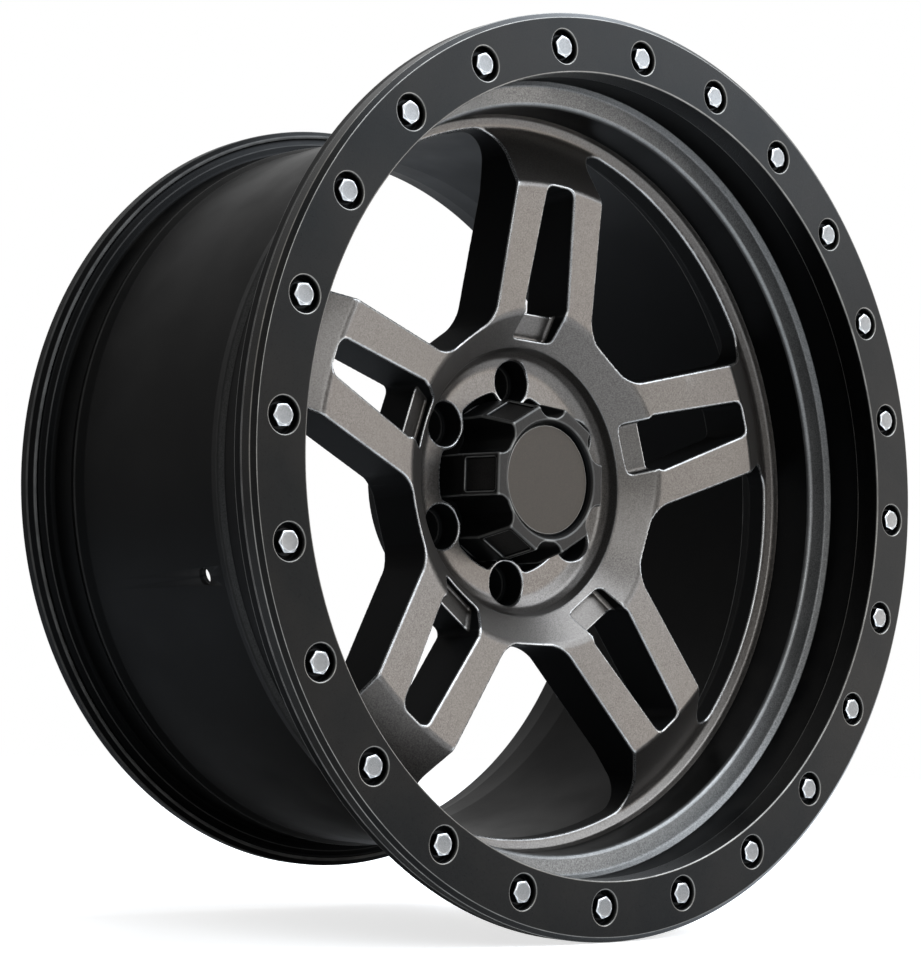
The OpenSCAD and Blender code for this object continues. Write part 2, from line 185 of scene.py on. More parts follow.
def net(field, low, cell):
    """Closed mesh over the zero level of a field on a grid, as vertices and four-sided faces."""
    inside = field < 0
    shape = field.shape
    quads, at = [], []
    for axis in range(3):
        lo, hi = [slice(None)] * 3, [slice(None)] * 3
        lo[axis], hi[axis] = slice(0, -1), slice(1, None)
        idx = np.argwhere(inside[tuple(lo)] != inside[tuple(hi)])
        o1, o2 = (axis + 1) % 3, (axis + 2) % 3
        nxt = idx.copy()
        nxt[:, axis] += 1
        f0, f1 = field[tuple(idx.T)], field[tuple(nxt.T)]
        p = idx.astype(np.float64)
        p[:, axis] += f0 / (f0 - f1)
        ring = []
        for d1, d2 in ((-1, -1), (0, -1), (0, 0), (-1, 0)):
            c = idx.copy()
            c[:, o1] += d1
            c[:, o2] += d2
            ring.append(np.ravel_multi_index(c.T, shape))
        q = np.stack(ring, 1)
        back = f0 >= 0
        q[back] = q[back][:, ::-1]
        quads.append(q)
        at.append(p)
    quads, at = np.concatenate(quads), np.concatenate(at)
    ids, index = np.unique(quads, return_inverse=True)
    index = index.reshape(-1, 4)
    count = np.bincount(index.ravel(), minlength=len(ids)).astype(np.float64)
    flat = index.ravel()
    sums = [np.bincount(flat, np.repeat(at[:, k], 4), len(ids)) for k in range(3)]
    return low + np.stack([total / count for total in sums], 1) * cell, index


def mesh_object(name, verts, faces):
    """Mesh object from millimetres, with depths measured from the ring face."""
    verts = np.array(verts, np.float64)
    verts[:, 1] -= HALF_W
    verts /= 1000.0
    faces = np.asarray(faces)
    me = bpy.data.meshes.new(name)
    me.vertices.add(len(verts))
    me.vertices.foreach_set("co", verts.ravel())
    me.loops.add(faces.size)
    me.loops.foreach_set("vertex_index", faces.ravel().astype(np.int32))
    me.polygons.add(len(faces))
    starts = np.arange(0, faces.size, faces.shape[1], dtype=np.int32)
    me.polygons.foreach_set("loop_start", starts)
    me.update(calc_edges=True)
    me.validate()
    ob = bpy.data.objects.new(name, me)
    bpy.context.scene.collection.objects.link(ob)
    return ob


def baked(ob):
    """Replaces the object's mesh by what its modifiers make of it."""
    graph = bpy.context.evaluated_depsgraph_get()
    result = bpy.data.meshes.new_from_object(ob.evaluated_get(graph))
    ob.modifiers.clear()
    ob.data = result
    result.name = ob.name
    return ob


def thinned(ob, share):
    """The object with only a share of its triangles left."""
    ob.modifiers.new("thin", "DECIMATE").ratio = share
    return baked(ob)


def vertex_places(me):
    co = np.empty(len(me.vertices) * 3)
    me.vertices.foreach_get("co", co)
    return co.reshape(-1, 3)


def keep_shading(me, normal, bend):
    """Smooth normals, and the roundness of edges (curvature per mm) for the painted edge highlights and
    hollow shade.
    """
    me.shade_smooth()
    layer = me.attributes.new("roundness", "FLOAT", "POINT")
    layer.data.foreach_set("value", np.clip(bend, -2, 2).astype(np.float32))
    me.normals_split_custom_set_from_vertices(normal.tolist())


def shade(ob):
    """Normals weighted by face area, and roundness from how they turn along the mesh's edges."""
    me = ob.data
    co = vertex_places(me)
    n = len(co)
    me.calc_loop_triangles()
    tri = np.empty(len(me.loop_triangles) * 3, np.int32)
    me.loop_triangles.foreach_get("vertices", tri)
    tri = tri.reshape(-1, 3)
    area = np.cross(co[tri[:, 1]] - co[tri[:, 0]], co[tri[:, 2]] - co[tri[:, 0]])
    sums = [np.bincount(tri.ravel(), np.repeat(area[:, k], 3), n) for k in range(3)]
    normal = np.stack(sums, 1)
    normal /= np.linalg.norm(normal, axis=1, keepdims=True) + 1e-20
    edge = np.empty(len(me.edges) * 2, np.int32)
    me.edges.foreach_get("vertices", edge)
    a, b = edge.reshape(-1, 2).T
    step = co[b] - co[a]
    size = np.sum(step * step, 1) + 1e-14
    bend = np.bincount(a, -np.sum(normal[a] * step, 1) / size, n)
    bend = bend + np.bincount(b, np.sum(normal[b] * step, 1) / size, n)
    bend /= np.bincount(a, minlength=n) + np.bincount(b, minlength=n) + 1e-9
    keep_shading(me, normal, bend * 2 / 1000.0)


def shade_from(ob, distance, reach=0.5, span=0.9):
    """Normals and roundness taken from the form's own distance field."""
    me = ob.data
    p = vertex_places(me) * 1000 + np.array([0, HALF_W, 0])

    def at(q):
        return distance(q[:, 0], q[:, 1], q[:, 2]).astype(np.float64)

    steps = np.eye(3) * reach
    normal = np.stack([at(p + e) - at(p - e) for e in steps], 1)
    normal /= np.linalg.norm(normal, axis=1, keepdims=True) + 1e-12
    off_axis = np.where(np.abs(normal[:, 1:2]) > 0.7, [[1.0, 0, 0]], [[0, 1.0, 0]])
    one = np.cross(normal, off_axis)
    one /= np.linalg.norm(one, axis=1, keepdims=True) + 1e-12
    two = np.cross(normal, one)
    around = [one, -one, two, -two]
    bend = sum(at(p + t * span) for t in around) / 4 - at(p)
    keep_shading(me, normal, bend * 2 / span ** 2)


def finish_piece(ob, material, slot, *nodes, distance=None):
    """Gives a piece its material and normals, and its place in the frame."""
    ob.data.materials.clear()
    ob.data.materials.append(material)
    if distance:
        shade_from(ob, distance)
    else:
        shade(ob)
    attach(ob, "root")
    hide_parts(*nodes)


def held_flat(p, q, near=0.4):
    """A corner and, where the line to the next one is long, a point close to each of its ends."""
    size = math.dist(p, q)
    if size < 4 * near:
        return [p]
    shares = (near / size, 1 - near / size)
    return [p] + [(p[0] + (q[0] - p[0]) * k, p[1] + (q[1] - p[1]) * k) for k in shares]


def turned_form(outline, steps, sides):
    """Vertices and faces of a closed turned piece, from corners (radius, depth, corner radius)."""
    ring = round_corners([p[:2] for p in outline], [p[2] for p in outline], steps)
    ring = [p for i, p in enumerate(ring) if math.dist(p, ring[i - 1]) > 1e-4]
    ring = [q for i, p in enumerate(ring) for q in held_flat(p, ring[(i + 1) % len(ring)])]
    ring = np.array(ring)
    n = len(ring)
    t = np.arange(sides) * 2 * math.pi / sides
    verts = np.stack([
        np.outer(np.cos(t), ring[:, 0]).ravel(),
        np.outer(np.ones(sides), ring[:, 1]).ravel(),
        np.outer(np.sin(t), ring[:, 0]).ravel(),
    ], 1)
    i, j = np.meshgrid(np.arange(sides), np.arange(n), indexing="ij")
    i2, j2 = (i + 1) % sides, (j + 1) % n
    faces = np.stack([(a * n + b).ravel() for a, b in ((i, j), (i, j2), (i2, j2), (i2, j))], 1)
    area = np.sum(ring[:, 0] * np.roll(ring[:, 1], -1) - np.roll(ring[:, 0], -1) * ring[:, 1])
    return verts, faces[:, ::-1] if area < 0 else faces


def face_depth(u):
    """Depth of a spoke's face at distance u along the spoke."""
    return FACE_IN - (FACE_IN - FACE_OUT) / (CREASE_OUT - CREASE_IN) * (u - CREASE_IN)


def edge_half(u, at_in=45.0, at_out=40.5):
    """Half a width that tapers from crease to crease, at first that of a whole spoke."""
    return at_in + (at_out - at_in) * (u - CREASE_IN) / (CREASE_OUT - CREASE_IN)


def window_half(u):
    """Half width of a window at distance u along its middle line, and the slope of its sides."""
    a = math.radians(-180 / SPOKES)
    (x0, y0), (x1, y1) = [
        (x * math.cos(a) - edge_half(x) * math.sin(a), x * math.sin(a) + edge_half(x) * math.cos(a))
        for x in (CREASE_IN, CREASE_OUT)
    ]
    slope = (y1 - y0) / (x1 - x0)
    return -(y0 + slope * (u - x0)), abs(slope)


def centre_section():
    """Outline of the turned body of hub and spokes, from corners (radius, depth, corner radius)."""
    crown = 8.0
    pts = [
        (BORE_R, 134, 0), (SNAP_R, 134, 0), (SNAP_R, 131, 0), (BORE_R, 129.4, .5),
        (BORE_R, SHELF_DEPTH, 1), (79.5, SHELF_DEPTH, 12), (86.5, 108.5, 8), (90.5, 103.5, 6),
        (WELL_R, WELL_DEPTH, 3), (CREASE_IN + crown, FACE_IN - crown * CONE_IN, 0),
        (CREASE_OUT - crown, FACE_OUT - crown * CONE_OUT, 0), (WINDOW_R, LEDGE + 3, 6),
        (DISH_R - 1.5, LEDGE, 2.5), (DISH_R - .5, LEDGE - 3, 1.5), (252.2, 81.5, 0),
        (ROOT_R, 81.5, 0), (ROOT_R, ROOT_DEPTH, 0), (INNER_R, ROOT_DEPTH, 0), (246.1, 109, 6),
        (WINDOW_R, BACK_OUT, 4), (CREASE_OUT, BACK_OUT, 6), (124, BACK_IN, 10), (96, 128, 4),
        (88, PAD_DEPTH, 2.5), (54.55, PAD_DEPTH, .5), (BORE_R, PAD_DEPTH - 1.5, .5),
    ]
    return round_corners([p[:2] for p in pts], [p[2] for p in pts])


def centre_plan(x, z):
    """Forms of the casting that don't change with depth: distances along and across what repeats."""
    r = np.hypot(x, z)
    u, v = fold(x, z, SPOKES, 90)
    v = np.abs(v)
    uw, vw = fold(x, z, SPOKES, 90 + 180 / SPOKES)
    ul, vl = fold(x, z, LUGS, 90)
    uo, vo = fold(x, z, LUGS, 90 + 180 / LUGS)
    half, slope = window_half(uw)
    side = (np.abs(vw) - half) / math.hypot(1, slope)
    window = meet(side, WINDOW_IN - uw, WINDOW_CORNER_IN)
    window = meet(window, r - WINDOW_R, WINDOW_CORNER_OUT)
    inner = edge_half(u, *SLOT_HALF)
    slot = meet(meet((v - inner) * SLOT_SLANT, CREASE_IN - u, 5), u - CREASE_OUT, 6)
    across = meet(inner + BAR_WALL - v, v - edge_half(u) + BAR_WALL, 3)
    hollow = meet(across, meet(HOLLOW_IN - u, u - HOLLOW_OUT, 3), 3)
    lug = np.hypot(ul - LUG_R, vl)
    pocket = meet(r - POCKET_IN, POCKET_WALL_R - lug, 3)
    relief = np.hypot(uo - LUG_R, vo) - RELIEF_R
    return u, v, np.minimum(window, slot), hollow, lug, pocket, relief


def centre_field(body, plan, d):
    """Signed distance to the casting at a depth, from its turned body and its plan."""
    u, v, holes, hollow, lug, pocket, relief = plan
    lean = math.cos(math.atan((FACE_IN - FACE_OUT) / (CREASE_OUT - CREASE_IN)))
    above = np.maximum((d - face_depth(u)) * lean, v - TOP_HALF)
    above = np.maximum(above, np.maximum(TOP_IN - u, u - TOP_OUT))
    f = carve(body, above, 1.6)
    f = carve(f, holes, 1.7)
    floor = BRIDGE_DEPTH + BRIDGE_RISE / BRIDGE_RUN * (BRIDGE_OUT - u)
    bridge = meet(meet((d - floor) * BRIDGE_SLANT, v - BRIDGE_HALF, 3), BRIDGE_IN - u, 3)
    f = carve(f, np.maximum(bridge, u - BRIDGE_OUT), 1.4)
    f = carve(f, meet(hollow, HOLLOW_DEPTH - d, 3), 1.5)
    f = carve(f, meet(pocket, d - POCKET_DEPTH, 2), 1.3)
    f = carve(f, meet(lug - SEAT_R, d - SEAT_DEPTH, 1.5), 1.3)
    seat = np.clip(SEAT_RISE - (d - SEAT_DEPTH) / SEAT_TAPER, 0, SEAT_RISE)
    f = np.maximum(f, STUD_R + seat * (d > SEAT_DEPTH - 1) - lug)
    return carve(f, np.maximum(relief, RELIEF_DEPTH - d), 1.0)


def build_centre(cell):
    """Hub and split spokes of the casting: a turned body cut by rounded forms."""
    reach, front, back = 258.0, 60.0, 163.0
    xs = np.arange(-reach, reach + cell, cell)
    ds = np.arange(front, back + cell, cell)
    x, z = [a.astype(np.float32) for a in np.meshgrid(xs, xs, indexing="ij")]
    r = np.hypot(x, z)
    rs = np.arange(0, 372, 0.25)
    table = outline_distance(centre_section(), *np.meshgrid(rs, ds, indexing="ij"))
    plan = centre_plan(x, z)
    field = np.empty((len(xs), len(ds), len(xs)), np.float32)
    for j, d in enumerate(ds):
        body = np.interp(r, rs, table[:, j]).astype(np.float32)
        field[:, j, :] = centre_field(body, plan, d)
    return net(field, np.array([xs[0], ds[0], xs[0]]), cell)


def centre_distance(x, d, z):
    """Signed distance to the casting at single points."""
    body = outline_distance(centre_section(), np.hypot(x, z), d)
    return centre_field(body, centre_plan(x, z), d)


def cap_distance(x, d, z):
    """Six-lobed cap: leaning lobe ends, valleys between them, bevelled well, sunk panels and legs."""
    r = np.hypot(x, z)
    u, v = fold(x, z, LUGS, 90 + 180 / LUGS)
    v = np.abs(v)
    uv, vv = fold(x, z, LUGS, 90)
    lug = np.hypot(uv - LUG_R, vv)
    vv = np.abs(vv)

    def shell(wall, top, foot, r1, r2):
        end = np.minimum(LOBE_R + (d - CAP_DEPTH) * LOBE_GROWTH / LOBE_HEIGHT, SKIRT_R) - wall
        f = meet(np.maximum((u - end) * LOBE_SLANT, u - SKIRT_R + wall), top - d, r1)
        side = vv * 0.866 - uv * 0.5 + VALLEY_IN - wall
        valley = meet(side, VALLEY_R - wall - uv, 4)
        return np.maximum(carve(f, valley, r2), d - foot), end

    body, end = shell(0, CAP_DEPTH, CAP_FOOT, 1.4, 1.5)
    inner, _ = shell(CAP_WALL, CAP_ROOM, CAP_FOOT + 2, 1.0, 0.6)
    panel = meet(v - PANEL_HALF, np.abs(d - PANEL_DEPTH) - PANEL_TALL, 1.5)
    panel = meet(panel, (end - PANEL_SINK - u) * LOBE_SLANT, 0.5)
    body = carve(body, panel, 0.7)
    bevel = (r - 40.8 + (d - CAP_DEPTH) * 0.65) * 0.84
    body = carve(body, meet(bevel, d - DISC_DEPTH, 0.3), 0.8)
    body = np.maximum(body, -np.maximum(r - 38.2, d - (DISC_DEPTH + DISC_T)))
    flange = np.maximum(r - 57, np.abs(d - 123.5) - 2.5)
    flange = np.maximum(np.maximum(flange, 18.4 - lug), 38 - r)
    body = np.minimum(np.maximum(body, -inner), np.maximum(flange, -inner))
    leg = np.maximum(v - LEG_HALF, np.maximum(49.85 - r, r - 52.65))
    leg = np.maximum(leg, np.maximum(LEG_DEPTH - d, d - 133.5))
    barb = np.maximum(v - LEG_HALF, np.maximum(51.5 - r, r - 54.15))
    barb = np.maximum(barb, np.abs(d - BARB_DEPTH) - 1.0)
    return np.minimum(np.minimum(body, leg), barb)


def build_cap(cell):
    reach, back = 60.0, 136.0
    xs = np.arange(-reach, reach + cell, cell)
    ds = np.arange(CAP_DEPTH - 2, back, cell)
    x, d, z = [a.astype(np.float32) for a in np.meshgrid(xs, ds, xs, indexing="ij")]
    return net(cap_distance(x, d, z), np.array([xs[0], ds[0], xs[0]]), cell)


def barrel_outline():
    """Corners (radius, depth, corner radius): outside to the back, then the inside to the front."""
    return [
        (RING_R, RING_T, .8), (RING_R, RING_T + 7, 1.6), (RING_R - 8, RING_T + 11, 6),
        (RING_R - 17, RING_T + 18, 8), (RING_R - 25, BAND - 8, 10), (RING_R - 31, BAND + 4, 10),
        (BEAD + 6, FLARE - 8, 6), (BEAD + .6, FLARE, 5),
        (BEAD - .8, FRONT_SEAT, 3), (BEAD + 1.4, FRONT_SEAT + 6, 5), (BEAD - .8, FRONT_SEAT + 14, 5),
        (BEAD - 2, BACK_SEAT - 14, 5), (BEAD + 1.2, BACK_SEAT - 6, 4), (BEAD - .8, BACK_SEAT, 3),
        (BEAD + .6, BACK_SEAT + 20, 3), (BEAD + 6.5, BACK_LIP - 4.5, 3),
        (BEAD + 10.5, BACK_LIP - 1.5, 2), (BEAD + 13, BACK_LIP - 3.2, 2),
        (BEAD + 17.5, BACK_LIP + 1, 2.5), (BEAD + 17.5, BACK - 4, 2), (BEAD + 14.5, BACK, 2),
        (BEAD + 7, BACK, 2.5), (BEAD - 1, BACK - 6, 5), (BEAD - 4.9, BACK_LIP - 14, 12),
        (BEAD - 6.9, BACK_SEAT - 12, 20), (INNER_R, ROOT_DEPTH, 0), (253.3, 112, 0),
        (253.3, 88, 0), (DISH_R - .06, 86, 0), (DISH_R - .06, BAND + 5, 3.5),
        (FRONT_BORE - 3, BAND + 1.5, 3), (FRONT_BORE, BAND - 2, 1.5), (FRONT_BORE, RING_T, .5),
    ]


def build_barrel():
    """Barrel with its valve hole, which is drilled outward through the wall in the left window."""
    barrel = mesh_object("barrel", *turned_form(barrel_outline(), 5, 240))
    a = math.radians(90 + 1.5 * 360 / SPOKES)
    pin = [(1e-3, 246, 0), (VALVE_R, 246, 0), (VALVE_R, 262, 0), (1e-3, 262, 0)]
    drill = mesh_object("valve_drill", *turned_form(pin, 1, 32))
    outward = Vector((math.cos(a), 0, math.sin(a)))
    turn = Vector((0, 1, 0)).rotation_difference(outward).to_matrix().to_4x4()
    to_axle = Matrix.Translation((0, HALF_W / 1000, 0))
    to_depth = Matrix.Translation((0, (VALVE_DEPTH - HALF_W) / 1000, 0))
    drill.data.transform(to_depth @ turn @ to_axle)
    cut = barrel.modifiers.new("valve", "BOOLEAN")
    cut.object, cut.operation, cut.solver = drill, "DIFFERENCE", "EXACT"
    baked(barrel)
    bpy.data.objects.remove(drill)
    return barrel


def arc(cx, cy, r, a0, a1, steps):
    """Points on an arc from a0 to a1 degrees."""
    angles = [math.radians(t) for t in np.linspace(a0, a1, steps + 1)]
    return [(cx + r * math.cos(t), cy + r * math.sin(t)) for t in angles]


def ring_face():
    """Vertices and faces of one sector's face, from its border down to the floor of its counterbore."""
    lo, hi = RING_FACE
    half = 180.0 / BOLTS
    border = [(hi, t) for t in np.linspace(-half, half, SECTOR_WIDE + 1)[:-1]]
    border += [(q, half) for q in np.linspace(hi, lo, SECTOR_TALL + 1)[:-1]]
    border += [(lo, t) for t in np.linspace(half, -half, SECTOR_WIDE + 1)[:-1]]
    border += [(q, -half) for q in np.linspace(lo, hi, SECTOR_TALL + 1)[:-1]]
    count = len(border)
    border = [(q * math.cos(math.radians(t)), q * math.sin(math.radians(t)), 0.0) for q, t in border]
    hole = [(SINK_R + 2.4, 0.0), (SINK_R + 1.2, 0.0)]
    hole += arc(SINK_R + .7, .7, .7, -90, -180, 5) + [(SINK_R, SINK_DEPTH - .6)]
    hole += arc(SINK_R - .5, SINK_DEPTH - .5, .5, 0, 90, 3) + [(8.8, SINK_DEPTH), (4.0, SINK_DEPTH)]
    first_corner = -54.0
    turns = [math.radians(first_corner + k * 360 / count) for k in range(count)]
    rows = [border]
    rows += [[(BOLT_R + q * math.cos(t), q * math.sin(t), d) for t in turns] for q, d in hole]
    verts, faces = [], []
    for i, row in enumerate(rows):
        verts += row
        if i:
            a, b = (i - 1) * count, i * count
            faces += [(a + k, a + (k + 1) % count, b + (k + 1) % count, b + k) for k in range(count)]
    last = (len(rows) - 1) * count
    verts.append((BOLT_R, 0.0, SINK_DEPTH))
    middle = len(verts) - 1
    faces += [(last + k, last + k + 1, last + (k + 2) % count, middle) for k in range(0, count, 2)]
    return np.array(verts), np.array(faces)


def ring_side():
    """Section (radius, depth) of the ring from the outer border of its face round to the inner one."""
    lo, hi = RING_FACE
    back = RING_T + 7.4
    side = [(hi, 0.0)] + arc(hi + .6, .6, .6, -90, -45, 2) + arc(RING_R - .8, CHAMFER, .8, -45, 0, 3)
    side += [(RING_R, 7.0)] + arc(RING_R - .6, RING_T - .6, .6, 0, 90, 3)
    side += [(FRONT_BORE, RING_T), (FRONT_BORE - .3, RING_T + .3)]
    side += arc(FRONT_BORE - .9, back, .6, 0, 90, 3) + arc(RING_BORE + .6, back, .6, 90, 180, 3)
    side += arc(RING_BORE + 1, 1.0, 1.0, -180, -90, 5) + [(lo, 0.0)]
    return [c for i, p in enumerate(side[:-1]) for c in held_flat(p, side[i + 1])] + side[-1:]


def build_ring():
    """Ring in 24 equal sectors, each with a counterbore, closed round its sides and back."""
    verts, faces = ring_face()
    side = ring_side()
    half = 180.0 / BOLTS
    wide = SECTOR_WIDE + 1
    parts_v, parts_f, base = [], [], 0
    for sector in range(BOLTS):
        t = math.radians(BOLT_TURN + 90 + sector * 360 / BOLTS)
        c, s = math.cos(t), math.sin(t)
        across = verts[:, 0] * c - verts[:, 1] * s
        parts_v.append(np.stack([across, verts[:, 2], verts[:, 0] * s + verts[:, 1] * c], 1))
        parts_f.append(faces + base)
        base += len(verts)
        turns = t + np.radians(np.linspace(-half, half, wide))
        strip = np.array([(p * math.cos(a), d, p * math.sin(a)) for p, d in side for a in turns])
        i, k = np.meshgrid(np.arange(len(side) - 1), np.arange(SECTOR_WIDE), indexing="ij")
        here = i.ravel() * wide + k.ravel()
        parts_f.append(np.stack([here, here + wide, here + wide + 1, here + 1], 1) + base)
        parts_v.append(strip)
        base += len(strip)
    verts, faces = np.concatenate(parts_v), np.concatenate(parts_f)
    _, first, place = np.unique(np.round(verts, 3), axis=0, return_index=True, return_inverse=True)
    return mesh_object("bolted_ring", verts[first], place.ravel()[faces])


def bolt_form():
    """Hex head with a chamfered rim and a slightly dished face, on a shank."""
    steps = 48
    shank_r, shank_long = 4.0, 19
    top, slope = 6.0, 0.55
    t = np.arange(steps) * 2 * math.pi / steps
    away = (t + math.pi / 6) % (math.pi / 3) - math.pi / 6
    hexed = np.minimum(HEAD_AF / 2 / np.cos(away), HEAD_AF / 2 * 1.125)
    lip = (hexed - top) * slope
    foot = SINK_DEPTH - WASHER_T
    rows = [
        (shank_r, foot + shank_long), (shank_r, foot), (hexed - .3, foot), (hexed, foot - .3),
        (hexed, lip + .3), (hexed - .08, lip + .08), (hexed - .3, (hexed - .3 - top) * slope),
        (top + .12, .07), (top - .25, 0.0), (5.3, 0.0), (4.9, .16), (1.5, .16),
    ]
    round_off = np.zeros(steps)
    verts = [np.stack([q * np.cos(t), round_off + d, q * np.sin(t)], 1) for q, d in rows]
    verts = np.concatenate(verts + [[[0, foot + shank_long, 0], [0, .16, 0]]])
    n = len(rows)
    i, k = [a.ravel() for a in np.meshgrid(np.arange(n - 1), np.arange(steps), indexing="ij")]
    k2 = (k + 1) % steps
    faces = np.stack([i * steps + k, i * steps + k2, (i + 1) * steps + k2, (i + 1) * steps + k], 1)
    e = np.arange(0, steps, 2)
    back = np.stack([e, 0 * e + n * steps, (e + 2) % steps, e + 1], 1)
    last = (n - 1) * steps
    front = np.stack([e + last, e + 1 + last, (e + 2) % steps + last, 0 * e + n * steps + 1], 1)
    return verts, np.concatenate([faces, back, front])


def give(tree, slot, value):
    """Links a socket to another node's output, or sets it to a constant."""
    if isinstance(value, bpy.types.NodeSocket):
        tree.links.new(value, slot)
    else:
        slot.default_value = value


def add(tree, kind, props=None, **inputs):
    """A node with its settings; inputs are named sockets given a constant or another node's output."""
    node = tree.nodes.new(kind)
    for key, value in (props or {}).items():
        setattr(node, key, value)
    for key, value in inputs.items():
        give(tree, node.inputs[key.replace("_", " ")], value)
    return node


def calc(tree, operation, *values):
    node = add(tree, "ShaderNodeMath", {"operation": operation})
    for slot, value in zip(node.inputs, values):
        give(tree, slot, value)
    return node.outputs[0]


def times(tree, a, b):
    return calc(tree, "MULTIPLY", a, b)


def plus(tree, a, b):
    return calc(tree, "ADD", a, b)


def noise(tree, **inputs):
    return add(tree, "ShaderNodeTexNoise", **inputs).outputs[0]


def ramp(tree, value, low, high, to_low=0.0, to_high=1.0):
    """Smooth step between two limits, rising from to_low to to_high."""
    node = add(tree, "ShaderNodeMapRange", {"interpolation_type": "SMOOTHSTEP"}, Value=value)
    limits = {"From Min": low, "From Max": high, "To Min": to_low, "To Max": to_high}
    for key, x in limits.items():
        give(tree, node.inputs[key], x)
    return node.outputs[0]


def fade(tree, value, low, high, share=1.0):
    """Smooth step that falls from share to nothing."""
    return ramp(tree, value, low, high, share, 0.0)


def blend(tree, share, a, b):
    """Colour a, with a share of colour b over it."""
    node = add(tree, "ShaderNodeMix", {"data_type": "RGBA"})
    factor, first, second = 0, 6, 7
    for k, value in ((factor, share), (first, a), (second, b)):
        give(tree, node.inputs[k], value)
    return node.outputs[2]


def new_group(name, inputs, outputs):
    """A shader group with its own sockets: the group, what comes in and what goes out."""
    group = bpy.data.node_groups.new(name, "ShaderNodeTree")
    kind = "NodeSocketFloat"
    for key, value in inputs.items():
        socket = group.interface.new_socket(name=key, in_out="INPUT", socket_type=kind)
        socket.default_value = value
    for key in outputs:
        group.interface.new_socket(name=key, in_out="OUTPUT", socket_type=kind)
    came_in = group.nodes.new("NodeGroupInput").outputs
    return group, came_in, group.nodes.new("NodeGroupOutput").inputs


def object_place(tree):
    return add(tree, "ShaderNodeTexCoord").outputs["Object"]


def surface_normal(tree):
    normal = add(tree, "ShaderNodeNewGeometry").outputs["Normal"]
    return add(tree, "ShaderNodeSeparateXYZ", Vector=normal).outputs


def grain_group():
    """Metal flake and fine cast grain: a value for colour, a height for the bump and a slow cloud."""
    g, i, o = new_group("flake_grain", {"Scale": 900.0}, ["Value", "Height", "Cloud"])
    at = object_place(g)
    fine = noise(g, Vector=at, Scale=i["Scale"], Detail=2.0, Roughness=0.6)
    cells = add(g, "ShaderNodeTexVoronoi", Vector=at, Scale=times(g, i["Scale"], 1.6))
    speck = add(g, "ShaderNodeSeparateColor", Color=cells.outputs["Color"]).outputs[0]
    cloud = noise(g, Vector=at, Scale=14.0, Detail=3.0, Roughness=0.55)
    value = plus(g, times(g, ramp(g, fine, 0.3, 0.7), 0.6), times(g, speck, 0.4))
    g.links.new(value, o["Value"])
    g.links.new(fine, o["Height"])
    g.links.new(ramp(g, cloud, 0.3, 0.7), o["Cloud"])
    return g


def edge_group():
    """Painted highlight on outer edges, broken up by noise, and painted shade in hollows, from the
    roundness kept on the mesh.
    """
    g, i, o = new_group("edge_highlight_hollow_shade", {"From": 0.08, "To": 0.35}, ["Mask", "Hollow"])
    bend = add(g, "ShaderNodeAttribute", {"attribute_name": "roundness"}).outputs["Fac"]
    highlight_patches = ramp(g, noise(g, Vector=object_place(g), Scale=70.0, Detail=3.0), 0.3, 0.7, 0.6, 1.0)
    # First output: painted highlight on rounded outer edges, in patches.
    g.links.new(times(g, ramp(g, bend, i["From"], i["To"]), highlight_patches), o["Mask"])
    # Second output: painted shade in concave hollows.
    g.links.new(ramp(g, times(g, bend, -1.0), i["From"], i["To"]), o["Hollow"])
    return g


def facing_group():
    """How far a surface faces the front, with its radius and depth in millimetres."""
    g, _, o = new_group("wheel_place", {}, ["Front", "Radius", "Depth"])
    p = add(g, "ShaderNodeSeparateXYZ", Vector=object_place(g)).outputs
    r = calc(g, "SQRT", plus(g, times(g, p[0], p[0]), times(g, p[2], p[2])))
    g.links.new(times(g, surface_normal(g)[1], -1.0), o["Front"])
    g.links.new(times(g, r, 1000.0), o["Radius"])
    g.links.new(times(g, plus(g, p[1], HALF_W / 1000), 1000.0), o["Depth"])
    return g


def dust_group():
    """Thin handling dust, most on surfaces that face up."""
    g, i, o = new_group("light_dust", {"Amount": 0.1}, ["Mask"])
    up = surface_normal(g)[2]
    patch = noise(g, Vector=object_place(g), Scale=38.0, Detail=4.0, Roughness=0.65)
    lying = times(g, ramp(g, up, -0.2, 1.0), ramp(g, patch, 0.35, 0.75))
    g.links.new(times(g, lying, i["Amount"]), o["Mask"])
    return g


GRAIN_HEIGHT = 0.0002
GRAIN, EDGES, PLACE, DUST = grain_group(), edge_group(), facing_group(), dust_group()


def use(tree, group, **inputs):
    return add(tree, "ShaderNodeGroup", {"node_tree": group}, **inputs).outputs


def new_material(name):
    mat = bpy.data.materials.new(name)
    mat.use_nodes = True
    tree = mat.node_tree
    return mat, tree, tree.nodes["Principled BSDF"]


def put(tree, shader, **inputs):
    for key, value in inputs.items():
        give(tree, shader.inputs[key.replace("_", " ")], value)


def bump(tree, height, strength):
    node = add(tree, "ShaderNodeBump", Strength=strength, Distance=GRAIN_HEIGHT, Height=height)
    return node.outputs[0]


def linear(c):
    return c / 255 / 12.92 if c <= 10 else ((c / 255 + 0.055) / 1.055) ** 2.4


def srgb(r, g, b):
    return linear(r), linear(g), linear(b), 1.0


